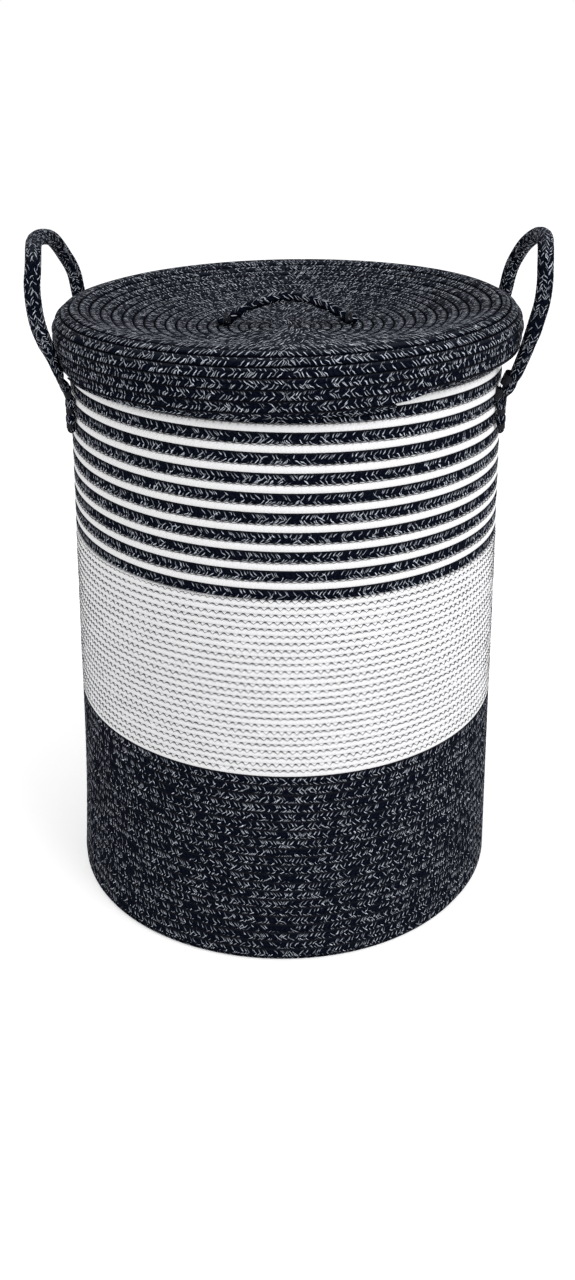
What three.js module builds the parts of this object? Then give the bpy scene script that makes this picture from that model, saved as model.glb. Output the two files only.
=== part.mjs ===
// Coiled-rope laundry hamper with a drop-over lid, two side handles and a lid handle.
//
// Units are millimetres and +Z is up. The hamper stands on the plane z = 0, centred on the Z axis,
// and its front faces -Y. The side handles stand at -X and +X.

import * as THREE from 'three';
import { mergeVertices } from 'three/addons/utils/BufferGeometryUtils.js';

// Driving dimensions of the wall
const wallRadiusAtFloor = 211.2;
const wallRadiusAtRim = 189.6;
const darkRopeThickness = 9.3;
const darkRopePitch = 9.3;
const whiteRopeThickness = 8.2;
const cornerRadius = 6;
const cornerFlat = 16;
const lowerBandHeight = 199.5;
const middleBandHeight = 164.6;
const middleBandTurns = 26;
const stripePairs = 11;
const darkStripeHeight = 9.4;
const whiteStripeHeight = 6.65;
const rimHeight = 15.1;
const rimTurns = 2;
const rimChamfer = 2;

// Driving dimensions of the floor
const floorThickness = 9.3;

// Driving dimensions of the lid
const lidOverhang = 15.9;
const lidThickness = 9.3;
const lidDishDepth = 25;
const lidDishInset = 24.5;
const lidShoulderWidth = 28.5;
const lidSkirtDepth = 50;
const lidSkirtLean = 9;

// Driving dimensions of the side handles
const handleRopeDiameter = 14.5;
const handleFootSpacing = 144;
const handleHingeDrop = 27.9;
const legStraight = 6.4;
const legSkirtDrop = 2;
const legLidClearance = 1;
const tailLength = 23.5;
const tailPinch = 1.7;
const tailPinchWidth = 3;

// Route of each leg from the hinge to the skirt: shares of the move along Y, the climb and the move outwards
const legRoute = [[0.1, 0.35, 0.18], [0.3, 0.65, 0.66], [0.6, 1, 1]];

// Route of each loop of handle rope over the skirt, from the front to the back: place along Y, height
// over the hinge, and how far the rope stands off the lid's widest circle
const leftLoopRoute = [
  [-84, 48, -0.4], [-85, 58, 1.2], [-86, 73, 3.6], [-86, 88, 4.8], [-85.5, 103, 4.4], [-82, 115.5, 2.9],
  [-72, 124, 1.9], [-52, 128.5, 1.7], [-24, 128.5, 1.7], [5, 126.5, 1.7], [30, 123.5, 1.7], [48, 119, 1.7],
  [60, 112, 1.7], [71, 101.5, 1.8], [80, 91.5, 2], [86, 81.5, 2.4], [89, 70, 2.6], [89, 58, 1.2],
  [87, 48, -0.4],
];
const rightLoopRoute = [
  [-77, 48, -0.4], [-78, 58, 1.6], [-79, 73, 5.4], [-79, 88, 8.3], [-78, 103, 9.3], [-75.5, 117, 8.3],
  [-67, 127.5, 6.3], [-49, 132.5, 4], [-20, 131.5, 3], [5, 128.5, 3], [25, 123, 3.3], [42, 114.5, 3.3],
  [54, 104.5, 3.3], [63, 94, 3.3], [68, 84, 3.3], [71, 74, 3.3], [73, 66, 3], [73.5, 57, 1.2], [73, 48, -0.4],
];

// Driving dimensions of the lid handle
const lidHandleRopeDiameter = 9.3;
const lidHandleSpan = 106;
const lidHandleRise = 22;
const lidHandleStations = [-1, -0.82, -0.5, 0, 0.5, 0.82, 1];
const lidHandleFullness = 0.9;

// Driving dimensions of the sewing
const bindingThreadDiameter = 2;
const firstBindingDrop = 4;
const lastBindingRise = 6.5;
const bindingWrap = 209;

// Clearances and depths shared by the pieces
const gap = 0.3;
const lidSeatGap = 0.8;
const darkGroove = 1.8;
const rimGroove = 1.4;
const whiteGroove = 1.2;
const turnSteps = 24;
const shortestStep = 0.05;
const grooveFade = 0.25;

// Facets sit half inside and half outside the true circle
const facetFactor = 2 / (1 + Math.cos(Math.PI / turnSteps));
const flatFactor = facetFactor * Math.cos(Math.PI / turnSteps);

const stripePeriod = darkStripeHeight + whiteStripeHeight;
const stripeBase = lowerBandHeight + middleBandHeight;
const stripeTop = stripeBase + stripePairs * stripePeriod;
const wallHeight = stripeTop + rimHeight;
const lidRadius = wallRadiusAtRim + lidOverhang;
const lidDishRadius = lidRadius - lidDishInset;
const lidShoulderStart = lidRadius - lidShoulderWidth;

const colours = {
  darkRope: 0x171b26,
  whiteRope: 0xeceae6,
  darkThread: 0x2a2d35,
};

function ropeMaterial(colour) {
  return new THREE.MeshStandardMaterial({ color: colour, roughness: 0.9, metalness: 0 });
}

// Outer radius of the wall at height z
function wallRadius(z) {
  return wallRadiusAtFloor + (wallRadiusAtRim - wallRadiusAtFloor) * (z / wallHeight);
}

// Point at radius r and turn a, where a = 0 is the front and a = 90 degrees is the +X side
function ringPoint(r, a, z) {
  return new THREE.Vector3(r * Math.sin(a), -r * Math.cos(a), z);
}

// Triangle list that becomes one closed mesh
class Facets {
  constructor() {
    this.positions = [];
  }

  triangle(a, b, c) {
    const area = new THREE.Triangle(a, b, c).getArea();
    if (area > 1e-7) this.positions.push(...a.toArray(), ...b.toArray(), ...c.toArray());
  }

  quad(a, b, c, d) {
    this.triangle(a, b, d);
    this.triangle(b, c, d);
  }

  // Fills the strip between two chains of points, both running the same way
  strip(left, right) {
    let i = 0;
    let j = 0;
    while (i < left.length - 1 || j < right.length - 1) {
      const leftNext = i < left.length - 1 ? left[i + 1].s : Infinity;
      const rightNext = j < right.length - 1 ? right[j + 1].s : Infinity;
      if (leftNext <= rightNext) {
        this.triangle(left[i].p, right[j].p, left[i + 1].p);
        i += 1;
      } else {
        this.triangle(left[i].p, right[j].p, right[j + 1].p);
        j += 1;
      }
    }
  }

  geometry() {
    const geometry = new THREE.BufferGeometry();
    geometry.setAttribute('position', new THREE.Float32BufferAttribute(this.positions, 3));
    const merged = mergeVertices(geometry, 1e-3);
    merged.computeVertexNormals();
    return merged;
  }
}

// Depth of the coil's surface at length s, from 0 on a crest to 1 in a groove
function coilWave(s, pitch, shift) {
  const phase = s / pitch - shift;
  return Math.abs(2 * (phase - Math.floor(phase)) - 1);
}

// Lengths along the section at which one column of facets has a crest or a groove
function coilStations(start, end, pitch, shift, extra) {
  const stations = [];
  const first = Math.floor(2 * (start / pitch - shift));
  const last = Math.ceil(2 * (end / pitch - shift));
  for (let k = first; k <= last; k += 1) stations.push((k / 2 + shift) * pitch);
  return within(start, end, [...stations, ...extra]);
}

// The given lengths that lie between start and end, in order and with both ends added
function within(start, end, lengths) {
  const inside = lengths.filter((s) => s > start + shortestStep && s < end - shortestStep);
  return [...new Set([start, ...inside, end])].sort((a, b) => a - b);
}

// Shell wound from a coil: its outer face has one ridge per turn, which climbs a pitch each time round.
// section.outer(s) gives the crest line and its normal, section.inner(s) the smooth inner face.
// start(turn) and end(turn) give where the section begins and ends at each part of the turn.
function coiledShell(section) {
  const facets = new Facets();
  const columns = [];
  for (let i = 0; i <= turnSteps; i += 1) {
    const turn = i / turnSteps;
    const angle = Math.PI * (2 * turn - 1);
    const start = section.start(turn);
    const end = section.end(turn);
    const atSeam = i === 0 || i === turnSteps;
    const extra = atSeam ? [0, 1].flatMap((t) => [section.start(t), section.end(t)]) : [];
    const place = ({ r, z }) => ringPoint(r * facetFactor, angle, z);
    const outer = coilStations(start, end, section.pitch, turn * section.hand, extra).map((s) => {
      const at = section.outer(s);
      const depth = section.groove(s) * coilWave(s, section.pitch, turn * section.hand);
      return { s, p: place({ r: at.r - depth * at.nr, z: at.z - depth * at.nz }) };
    });
    const innerStations = within(start, end, [...section.innerStations, ...extra]);
    const inner = innerStations.map((s) => ({ s, p: place(section.inner(s)) }));
    columns.push({ start, end, outer, inner });
  }
  for (let i = 0; i < turnSteps; i += 1) {
    const here = columns[i];
    const next = columns[i + 1];
    facets.strip(here.outer, next.outer);
    facets.strip(next.inner, here.inner);
    facets.quad(here.outer[0].p, here.inner[0].p, next.inner[0].p, next.outer[0].p);
    facets.quad(here.outer.at(-1).p, next.outer.at(-1).p, next.inner.at(-1).p, here.inner.at(-1).p);
  }
  closeSeam(facets, columns[0], columns[turnSteps]);
  return facets.geometry();
}

// Face across the wall where a band begins or ends in a step
function closeSeam(facets, first, last) {
  const pieces = [
    [Math.max(first.start, last.end), first.end, first, false],
    [first.start, Math.min(last.start, first.end), first, false],
    [Math.max(last.start, first.end), last.end, last, true],
    [last.start, Math.min(first.start, last.end), last, true],
  ];
  for (const [from, to, column, turned] of pieces) {
    if (to - from > shortestStep) {
      const inside = (point) => point.s > from - shortestStep / 2 && point.s < to + shortestStep / 2;
      const outer = column.outer.filter(inside);
      const inner = column.inner.filter(inside);
      if (turned) facets.strip(outer, inner);
      else facets.strip(inner, outer);
    }
  }
}

// Rope swept through a list of sections; the ends are flat
function sweptRope(sections) {
  const facets = new Facets();
  const sides = sections[0].length;
  for (let i = 0; i < sections.length - 1; i += 1) {
    for (let k = 0; k < sides; k += 1) {
      const m = (k + 1) % sides;
      facets.quad(sections[i][k], sections[i][m], sections[i + 1][m], sections[i + 1][k]);
    }
  }
  const firstRing = sections[0];
  const lastRing = sections.at(-1);
  for (let k = 1; k < sides - 1; k += 1) {
    facets.triangle(firstRing[0], firstRing[k + 1], firstRing[k]);
    facets.triangle(lastRing[0], lastRing[k], lastRing[k + 1]);
  }
  return facets.geometry();
}

// Round rope along a curve, with rounded ends where domes says so
function roundRope(curve, { steps, sides, radius, domes, side }) {
  const centres = [];
  for (let i = 0; i <= steps; i += 1) {
    const u = i / steps;
    centres.push({ point: curve.getPointAt(u), tangent: curve.getTangentAt(u), r: radius(u) });
  }
  if (domes) {
    for (const degrees of [45, 80]) {
      const dome = THREE.MathUtils.degToRad(degrees);
      for (const [u, sign] of [[0, -1], [1, 1]]) {
        const tangent = curve.getTangentAt(u);
        const reach = sign * radius(u) * Math.sin(dome);
        const point = curve.getPointAt(u).addScaledVector(tangent, reach);
        const centre = { point, tangent, r: radius(u) * Math.cos(dome) };
        if (sign < 0) centres.unshift(centre);
        else centres.push(centre);
      }
    }
  }
  const rings = centres.map(({ point, tangent, r }) => {
    const across = new THREE.Vector3().crossVectors(tangent, side).normalize();
    const along = new THREE.Vector3().crossVectors(tangent, across).normalize();
    const ring = [];
    for (let k = 0; k < sides; k += 1) {
      const angle = (2 * Math.PI * (k + 0.5)) / sides;
      const offset = across.clone().multiplyScalar(r * Math.cos(angle));
      ring.push(point.clone().add(offset).addScaledVector(along, r * Math.sin(angle)));
    }
    return ring;
  });
  return sweptRope(rings);
}

const hamper = new THREE.Group();

function addPiece(name, geometry, colour, parent = hamper) {
  const mesh = new THREE.Mesh(geometry, ropeMaterial(colour));
  mesh.name = name;
  parent.add(mesh);
  return mesh;
}

// Floor: a flat spiral of rope inside the first turn of the wall, ridged on top and flat below
const cornerCentre = wallRadius(cornerRadius) - cornerRadius;
const wallFootRadius = cornerCentre - cornerFlat;

function buildFloor() {
  const radius = wallFootRadius - gap / facetFactor;
  const turns = Math.round(radius / darkRopePitch);
  const section = {
    pitch: radius / turns,
    hand: -1,
    start: () => 0,
    end: () => radius,
    groove: (s) => Math.min(darkGroove, s * grooveFade),
    outer: (s) => ({ r: s, z: floorThickness, nr: 0, nz: 1 }),
    innerStations: [],
    inner: (s) => ({ r: s, z: 0 }),
  };
  return flipped(coiledShell(section));
}

// Turns a mesh's faces over
function flipped(geometry) {
  const index = geometry.index;
  for (let i = 0; i < index.count; i += 3) {
    const a = index.getX(i);
    index.setX(i, index.getX(i + 1));
    index.setX(i + 1, a);
  }
  geometry.computeVertexNormals();
  return geometry;
}

// Height by which the two-rope winding falls from the back, round the left side, to the back again
const windingFall = stripePeriod;

// Level that follows the two-rope winding: high at the start of the turn and low at its end
function windingLevel(height) {
  return (turn) => height + windingFall * (0.5 - turn);
}

// Straight part of the wall between two levels, wound from one rope
function buildWallBand({ start, end, pitch, groove, thickness, hand = -1 }) {
  const section = {
    pitch,
    hand,
    start,
    end,
    groove: () => groove,
    outer: (z) => ({ r: wallRadius(z), z, nr: 1, nz: 0 }),
    innerStations: [],
    inner: (z) => ({ r: wallRadius(z) - thickness, z }),
  };
  return coiledShell(section);
}

// Lower band: it lies flat under the corner, turns up round it and climbs to the middle band
function buildLowerBand() {
  const arc = (cornerRadius * Math.PI) / 2;
  const climb = lowerBandHeight - cornerRadius;
  const length = cornerFlat + arc + climb;
  const outerAt = (s, depth) => {
    const inset = Math.max(cornerRadius, depth);
    const centreR = wallRadius(cornerRadius) - inset;
    if (s < cornerFlat) return { r: Math.min(wallFootRadius + s, centreR), z: depth, nr: 0, nz: -1 };
    if (s < cornerFlat + arc) {
      const t = (s - cornerFlat) / cornerRadius;
      const r = centreR + (inset - depth) * Math.sin(t);
      return { r, z: inset - (inset - depth) * Math.cos(t), nr: Math.sin(t), nz: -Math.cos(t) };
    }
    const z = Math.max(cornerRadius + s - cornerFlat - arc, depth);
    return { r: wallRadius(z) - depth, z, nr: 1, nz: 0 };
  };
  const rise = (s) => THREE.MathUtils.clamp((s - cornerFlat - arc * 0.3) / (arc * 0.7), 0, 1);
  const section = {
    pitch: darkRopePitch,
    hand: -1,
    start: () => 0,
    end: () => length - gap,
    groove: (s) => darkGroove * rise(s),
    outer: (s) => outerAt(s, 0),
    innerStations: [cornerFlat + cornerRadius - darkRopeThickness],
    inner: (s) => outerAt(s, darkRopeThickness),
  };
  return coiledShell(section);
}

// One of the two ropes of the striped band, an unbroken tube of stripePairs loops
function buildStripeRope({ low, height, thickness, groove }) {
  const loopSteps = stripePairs * turnSteps;
  const tuck = gap / wallRadiusAtRim;
  const half = (height - gap) / 2;
  const sections = [];
  for (let i = 0; i <= loopSteps; i += 1) {
    const climbed = i / turnSteps;
    let angle = Math.PI - 2 * Math.PI * climbed;
    if (i === 0) angle -= tuck;
    if (i === loopSteps) angle += tuck;
    const z = stripeBase - windingFall / 2 + climbed * windingFall + low + height / 2;
    const outer = wallRadius(z);
    const inner = outer - thickness;
    const lift = windingFall * (i === 0 || i === loopSteps ? tuck / (2 * Math.PI) : 0);
    const corner = (r, dz) => ringPoint(r * facetFactor, angle, z + dz + (i === 0 ? lift : -lift));
    sections.push([
      corner(outer - groove, -half),
      corner(outer, 0),
      corner(outer - groove, half),
      corner(inner, half),
      corner(inner, -half),
    ]);
  }
  return { geometry: sweptRope(sections), sections };
}

// Least distance between the loops of a wound rope, measured on its section points
function leastSelfGap(sections) {
  let least = Infinity;
  for (let i = 0; i + turnSteps < sections.length; i += 1) {
    const above = sections[i + turnSteps];
    for (const point of sections[i]) {
      for (const other of above) least = Math.min(least, point.distanceTo(other));
    }
  }
  return least;
}

// Least distance between neighbouring loops of the two ropes
function leastPairGap(lower, upper) {
  let least = Infinity;
  for (let i = 0; i < lower.length; i += 1) {
    for (const point of lower[i]) {
      for (const other of upper[i]) least = Math.min(least, point.distanceTo(other));
    }
  }
  return least;
}

function buildWall() {
  addPiece('floor_coil', buildFloor(), colours.darkRope);
  addPiece('lower_band_coil', buildLowerBand(), colours.darkRope);

  const middle = buildWallBand({
    start: () => lowerBandHeight,
    end: (turn) => windingLevel(stripeBase)(turn) - gap,
    pitch: middleBandHeight / middleBandTurns,
    groove: whiteGroove,
    thickness: whiteRopeThickness,
  });
  addPiece('middle_band_coil', middle, colours.whiteRope);

  const dark = buildStripeRope({
    low: 0,
    height: darkStripeHeight,
    thickness: darkRopeThickness,
    groove: darkGroove,
  });
  const white = buildStripeRope({
    low: darkStripeHeight,
    height: whiteStripeHeight,
    thickness: whiteRopeThickness,
    groove: whiteGroove,
  });
  addPiece('dark_stripe_rope', dark.geometry, colours.darkRope);
  addPiece('white_stripe_rope', white.geometry, colours.whiteRope);
  const gaps = [leastSelfGap(dark.sections), leastSelfGap(white.sections)];
  gaps.push(leastPairGap(dark.sections, white.sections));
  const printed = gaps.map((g) => g.toFixed(2)).join(', ');
  console.log(`least gaps, dark rope, white rope, between them: ${printed} mm`);

  const rimStart = windingLevel(stripeTop + gap / 2);
  const rim = coiledShell({
    pitch: rimHeight / rimTurns,
    hand: -1,
    start: (turn) => rimStart(turn),
    end: () => wallHeight,
    groove: (z) => Math.max(rimGroove, z - (wallHeight - rimChamfer)),
    outer: (z) => ({ r: wallRadius(z), z, nr: 1, nz: 0 }),
    innerStations: [wallHeight - rimChamfer],
    inner: (z) => {
      const chamfer = Math.max(0, z - (wallHeight - rimChamfer));
      return { r: wallRadius(z) - darkRopeThickness + chamfer, z };
    },
  });
  addPiece('rim_coil', rim, colours.darkRope);
}

// Lid: one coil that dips in the middle, turns over a rounded shoulder and hangs down as a skirt
const dishSlope = (r) => (3 * lidDishDepth * r ** 2) / lidDishRadius ** 3;
const shoulderTilt = Math.atan(dishSlope(lidShoulderStart));
const shoulderRadius = (lidRadius - lidShoulderStart) / (1 + Math.sin(shoulderTilt));
const shoulderCentreR = lidShoulderStart + shoulderRadius * Math.sin(shoulderTilt);
const dishRise = (r) => lidDishDepth * (r / lidDishRadius) ** 3;
const skirtLean = THREE.MathUtils.degToRad(lidSkirtLean);

// Height of the lid's centre that sets the underside of its shoulder on the rim
function seatedLidCentre() {
  const centreRise = dishRise(lidShoulderStart) - shoulderRadius * Math.cos(shoulderTilt);
  const undersideRadius = shoulderRadius - lidThickness;
  const rimRadius = wallRadius(wallHeight);
  const rimEdges = [rimRadius - darkRopeThickness + rimChamfer, rimRadius - rimChamfer];
  const offsets = rimEdges.map((r) => Math.min(undersideRadius, Math.abs(r - shoulderCentreR)));
  const rises = offsets.map((offset) => Math.sqrt(undersideRadius ** 2 - offset ** 2));
  return wallHeight + lidSeatGap - centreRise - Math.min(...rises);
}

const lidCentreHeight = seatedLidCentre();
const shoulderStartZ = lidCentreHeight + dishRise(lidShoulderStart);
const shoulderCentreZ = shoulderStartZ - shoulderRadius * Math.cos(shoulderTilt);
const lidTop = shoulderCentreZ + shoulderRadius;
const skirtBottom = lidTop - lidSkirtDepth;
const shoulderLength = shoulderRadius * (Math.PI / 2 + skirtLean + shoulderTilt);
const skirtStartR = shoulderCentreR + shoulderRadius * Math.cos(skirtLean);
const skirtStartZ = shoulderCentreZ - shoulderRadius * Math.sin(skirtLean);
const skirtLength = (skirtStartZ - skirtBottom) / Math.cos(skirtLean);
const skirtRadius = skirtStartR - skirtLength * Math.sin(skirtLean);

function lidSurface(s, depth) {
  if (s <= lidShoulderStart) {
    const tilt = Math.atan(dishSlope(s));
    const nr = -Math.sin(tilt);
    const nz = Math.cos(tilt);
    return { r: s - depth * nr, z: lidCentreHeight + dishRise(s) - depth * nz, nr, nz };
  }
  const past = s - lidShoulderStart;
  const t = Math.min(past, shoulderLength) / shoulderRadius - shoulderTilt;
  const nr = Math.sin(t);
  const nz = Math.cos(t);
  const down = Math.max(0, past - shoulderLength);
  const r = shoulderCentreR + (shoulderRadius - depth) * nr - down * Math.sin(skirtLean);
  const z = shoulderCentreZ + (shoulderRadius - depth) * nz - down * Math.cos(skirtLean);
  return { r, z, nr, nz };
}

function buildLid() {
  const length = lidShoulderStart + shoulderLength + skirtLength;
  const turns = Math.round(length / darkRopePitch);
  const innerStations = [0.3, 0.55, 0.75, 0.9, 1].map((share) => share * lidShoulderStart);
  for (let k = 1; k <= 8; k += 1) innerStations.push(lidShoulderStart + (k / 8) * shoulderLength);
  const section = {
    pitch: length / turns,
    hand: -1,
    start: () => 0,
    end: () => length,
    groove: (s) => Math.min(darkGroove, s * grooveFade),
    outer: (s) => lidSurface(s, 0),
    innerStations,
    inner: (s) => lidSurface(s, lidThickness),
  };
  addPiece('lid_coil', flipped(coiledShell(section)), colours.darkRope);
}

// Side handles: a rope loop that stands just outside the lid and follows its curve
const handleRadius = handleRopeDiameter / 2;
const footY = handleFootSpacing / 2;
const lidLine = lidRadius * facetFactor + handleRadius;
const handleHingeHeight = skirtBottom - handleHingeDrop;
const handleLeanStart = handleHingeHeight + legStraight;

// Centre of a handle rope where it lies on the wall
function tailCentre(side, end, z) {
  const r = wallRadius(z) * flatFactor + gap + handleRadius;
  return new THREE.Vector3(side * Math.sqrt(r ** 2 - footY ** 2), end * footY, z);
}

// Centre line of a loop, from the front foot over the top to the back foot
function handleLoopCurve(side, route) {
  const onLoop = (r, y, z) => new THREE.Vector3(side * Math.sqrt(r ** 2 - y ** 2), y, z);
  const wallLine = wallRadius(handleLeanStart) * flatFactor + gap + handleRadius;
  const skirtLine = skirtRadius * facetFactor + handleRadius + legLidClearance;
  const legRise = skirtBottom - legSkirtDrop - handleLeanStart;
  const legLean = skirtLine - wallLine;
  const legs = [[-1, route[0]], [1, route.at(-1)]].map(([end, [routeY]]) => {
    const climb = legRoute.map(([along, up, out]) => {
      const y = THREE.MathUtils.lerp(end * footY, routeY, along);
      return onLoop(wallLine + out * legLean, y, handleLeanStart + up * legRise);
    });
    return [
      tailCentre(side, end, handleHingeHeight + gap / 2),
      tailCentre(side, end, handleLeanStart),
      ...climb,
    ];
  });
  const loop = route.map(([y, rise, play]) => onLoop(lidLine + play, y, handleHingeHeight + rise));
  return new THREE.CatmullRomCurve3([...legs[0], ...loop, ...legs[1].reverse()], false, 'centripetal');
}

const tailTop = handleHingeHeight - gap / 2;
const tailEnd = tailTop - tailLength;
const bindingHeights = [tailTop - firstBindingDrop, tailEnd + lastBindingRise];

// Sewn-down end of a handle rope: it is pinched at each binding and rounded at its lower end
function tailRadius(z) {
  const nearest = Math.min(...bindingHeights.map((height) => Math.abs(height - z)));
  const pinched = handleRadius - tailPinch * Math.exp(-((nearest / tailPinchWidth) ** 2));
  const inward = Math.max(0, handleRadius - (z - tailEnd));
  return Math.min(pinched, Math.sqrt(handleRadius ** 2 - inward ** 2));
}

function buildTail(name, side, end) {
  const bottom = tailEnd + gap;
  const curve = new THREE.LineCurve3(tailCentre(side, end, tailTop), tailCentre(side, end, bottom));
  const geometry = roundRope(curve, {
    steps: 10,
    sides: 8,
    radius: (u) => tailRadius(THREE.MathUtils.lerp(tailTop, bottom, u)),
    domes: false,
    side: new THREE.Vector3(0, 1, 0),
  });
  addPiece(name, geometry, colours.darkRope);
}

// Thread binding: a loop over the tail with both ends on the wall
function buildBinding(name, side, end, z) {
  const threadRadius = bindingThreadDiameter / 2;
  const centre = tailCentre(side, end, z);
  const outward = new THREE.Vector3(centre.x, centre.y, 0).normalize();
  const along = new THREE.Vector3(-outward.y, outward.x, 0);
  const reach = tailRadius(z) + gap + threadRadius;
  const points = [];
  for (let k = 0; k <= 6; k += 1) {
    const angle = THREE.MathUtils.degToRad(bindingWrap * (k / 6 - 0.5));
    const point = centre.clone().addScaledVector(outward, reach * Math.cos(angle));
    points.push(point.addScaledVector(along, reach * Math.sin(angle)));
  }
  const curve = new THREE.CatmullRomCurve3(points);
  const geometry = roundRope(curve, {
    steps: 8,
    sides: 4,
    radius: () => threadRadius,
    domes: false,
    side: new THREE.Vector3(0, 0, 1),
  });
  addPiece(name, geometry, colours.darkThread);
}

function buildSideHandles() {
  const sides = [
    ['left', -1, leftLoopRoute],
    ['right', 1, rightLoopRoute],
  ];
  for (const [sideName, side, route] of sides) {
    const loop = roundRope(handleLoopCurve(side, route), {
      steps: 40,
      sides: 8,
      radius: () => handleRadius,
      domes: false,
      side: new THREE.Vector3(side, 0, 0),
    });
    addPiece(`${sideName}_handle_loop`, loop, colours.darkRope);
    for (const [endName, end] of [['front', -1], ['back', 1]]) {
      buildTail(`${sideName}_handle_${endName}_tail`, side, end);
      bindingHeights.forEach((z, i) => {
        buildBinding(`${sideName}_${endName}_binding_${i + 1}`, side, end, z);
      });
    }
  }
}

// Lid handle: a low arch of rope along X over the middle of the lid
const lidHandleFootZ = lidCentreHeight + dishRise(lidHandleSpan / 2) + lidHandleRopeDiameter / 2;

function buildLidHandle() {
  const ropeRadius = lidHandleRopeDiameter / 2;
  const half = lidHandleSpan / 2;
  const points = lidHandleStations.map((share) => {
    const lift = lidHandleRise * Math.cos((share * Math.PI) / 2) ** lidHandleFullness;
    return new THREE.Vector3(share * half, 0, lidHandleFootZ + lift);
  });
  const curve = new THREE.CatmullRomCurve3(points);
  const arch = roundRope(curve, {
    steps: 16,
    sides: 8,
    radius: () => ropeRadius,
    domes: true,
    side: new THREE.Vector3(0, 1, 0),
  });
  addPiece('lid_handle_rope', arch, colours.darkRope);
}

buildWall();
buildLid();
buildSideHandles();
buildLidHandle();
const hingeX = tailCentre(1, 1, handleHingeHeight).x + handleRadius;
console.log(`lid top ${lidTop.toFixed(2)}, skirt bottom ${skirtBottom.toFixed(2)} mm`);
console.log(`shoulder centre at ${shoulderCentreR.toFixed(2)}, skirt radius ${skirtRadius.toFixed(2)} mm`);
console.log(`lid handle feet at z ${lidHandleFootZ.toFixed(2)} mm`);
console.log(`lid centre ${lidCentreHeight.toFixed(2)}, wall height ${wallHeight.toFixed(2)} mm`);
console.log(`side handle hinges at x ${hingeX.toFixed(2)}, z ${handleHingeHeight.toFixed(2)} mm`);

export default hamper;
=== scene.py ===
"""Laundry hamper wound from cotton rope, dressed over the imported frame.

Lengths in the code are millimetres and turn into metres where a mesh is made. The hamper stands on
z = 0, its front faces -Y and the side handles stand at -X and +X. A turn of rope is counted from the
back, round the left side, the front and the right side, to the back again.
"""

import math

import bpy
import numpy as np
from bpy.props import FloatProperty, FloatVectorProperty, IntProperty, PointerProperty
from bpy.types import Operator, Panel, PropertyGroup
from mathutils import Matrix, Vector


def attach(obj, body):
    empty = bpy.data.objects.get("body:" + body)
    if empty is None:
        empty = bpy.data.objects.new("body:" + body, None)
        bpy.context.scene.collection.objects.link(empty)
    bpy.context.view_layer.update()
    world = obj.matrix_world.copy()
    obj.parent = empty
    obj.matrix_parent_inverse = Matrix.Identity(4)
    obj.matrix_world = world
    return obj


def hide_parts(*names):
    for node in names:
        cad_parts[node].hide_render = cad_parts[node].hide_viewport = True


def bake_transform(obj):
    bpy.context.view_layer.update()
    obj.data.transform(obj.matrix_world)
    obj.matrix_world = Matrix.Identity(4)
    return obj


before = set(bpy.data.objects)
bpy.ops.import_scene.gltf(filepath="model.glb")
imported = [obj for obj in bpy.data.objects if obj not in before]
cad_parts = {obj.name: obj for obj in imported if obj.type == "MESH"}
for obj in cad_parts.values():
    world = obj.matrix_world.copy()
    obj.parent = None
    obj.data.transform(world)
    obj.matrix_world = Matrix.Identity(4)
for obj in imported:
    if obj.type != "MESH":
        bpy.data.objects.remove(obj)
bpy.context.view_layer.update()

bl_info = {
    "name": "Rope hamper",
    "version": (1, 0, 0),
    "blender": (4, 5, 0),
    "location": "View3D > Sidebar > Hamper",
    "description": "Builds a lidded laundry hamper of coiled rope, piece by piece",
    "category": "Object",
}

MM = 0.001
GAP = 0.3
EDGE_GAP = 0.1

# Mesh: steps round a turn and along a plaited rope, strips round a wound rope, and its thinnest edge
STEPS_PER_TURN = 120
OUTER_STRIPS, INNER_STRIPS = 8, 4
HANDLE_STEP, LID_HANDLE_STEP = 1.1, 0.8
SIDES_PER_LANE = 5
THINNEST_EDGE = 0.1

# Lanes of plait on half of a wound rope, and the height of the dark rope's crease over its middle
DARK_LANES, WHITE_LANES = 1.1, 1.0
DARK_CREASE = 0.18

# Lashings: how much they draw a rope in, and the loose ones' heights over the hinge
LASHED_DEPTH, LASHED_REACH = 1.7, 3.0
LOOSE_ABOVE_HINGE = (10.4, 23.5)

# Route of each handle from the hinge to the lid's skirt: shares of the way along Y, up and outwards
LEG_ROUTES = {
    "left": ((0.1, 0.45, 0.3), (0.3, 0.8, 0.66), (0.6, 1.05, 0.84)),
    "right": ((0.1, 0.45, 0.4), (0.3, 0.8, 0.82), (0.6, 1.05, 1.0)),
}
# Where a handle is bound and pressed: rise over the hinge, share of the rope's width, thickness over width
PRESSED = {
    "left": ((5, 0.72, 0.95), (26, 0.72, 0.85), (40, 0.92, 0.8), (54, 1, 0.95), (64, 1, 1)),
    "right": ((3, 0.72, 0.95), (14, 0.92, 0.85), (28, 1, 0.8), (54, 1, 0.9), (64, 1, 1)),
}
# Lower edge of the lid: part of a turn from the back, and how much lower than level the skirt reaches
LID_EDGE = (
    (0, -5.5), (0.125, -5), (0.25, -4.5), (0.3, -3.5), (0.34, -1), (0.4, 0.5), (0.5, 0.3),
    (0.56, -1), (0.575, -6), (0.59, -10.5), (0.63, -14), (0.75, -14), (0.875, -9), (1, -5.5),
)
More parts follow.
